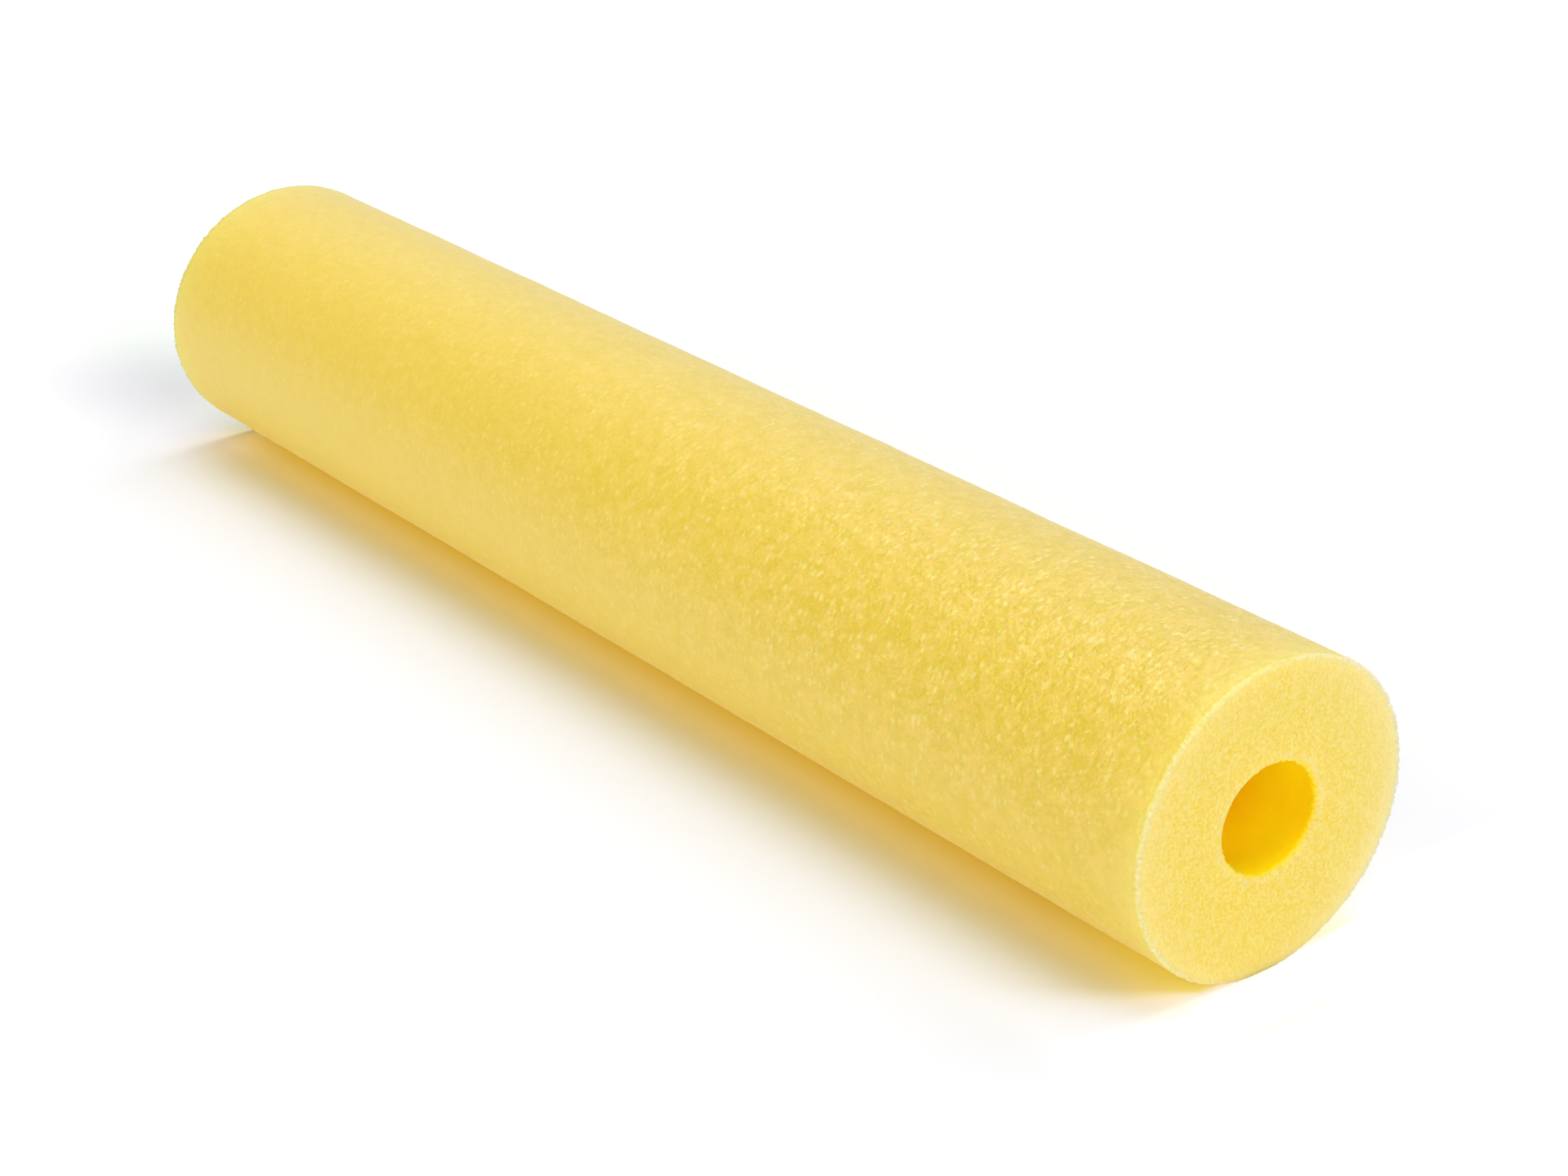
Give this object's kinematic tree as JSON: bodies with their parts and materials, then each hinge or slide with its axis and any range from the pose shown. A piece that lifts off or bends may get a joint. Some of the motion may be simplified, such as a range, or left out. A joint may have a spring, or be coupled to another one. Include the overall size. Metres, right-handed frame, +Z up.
{
  "type": "pool noodle",
  "caption": "Short straight pool noodle: a soft round foam tube with a bore right through it, cut square at both ends, lying on its side.",
  "frame": {"origin": "the middle of the resting flat on the tube's underside, on the surface that the noodle lies on", "axes": "+X along the tube, towards the end whose bore faces the camera in the picture; +Z up; +Y across the tube"},
  "size_m": [0.352, 0.0666, 0.0629],
  "materials": {
    "foam": "matte"
  },
  "bodies": {
    "root": {"foam_tube": "foam"}
  },
  "joints": []
}
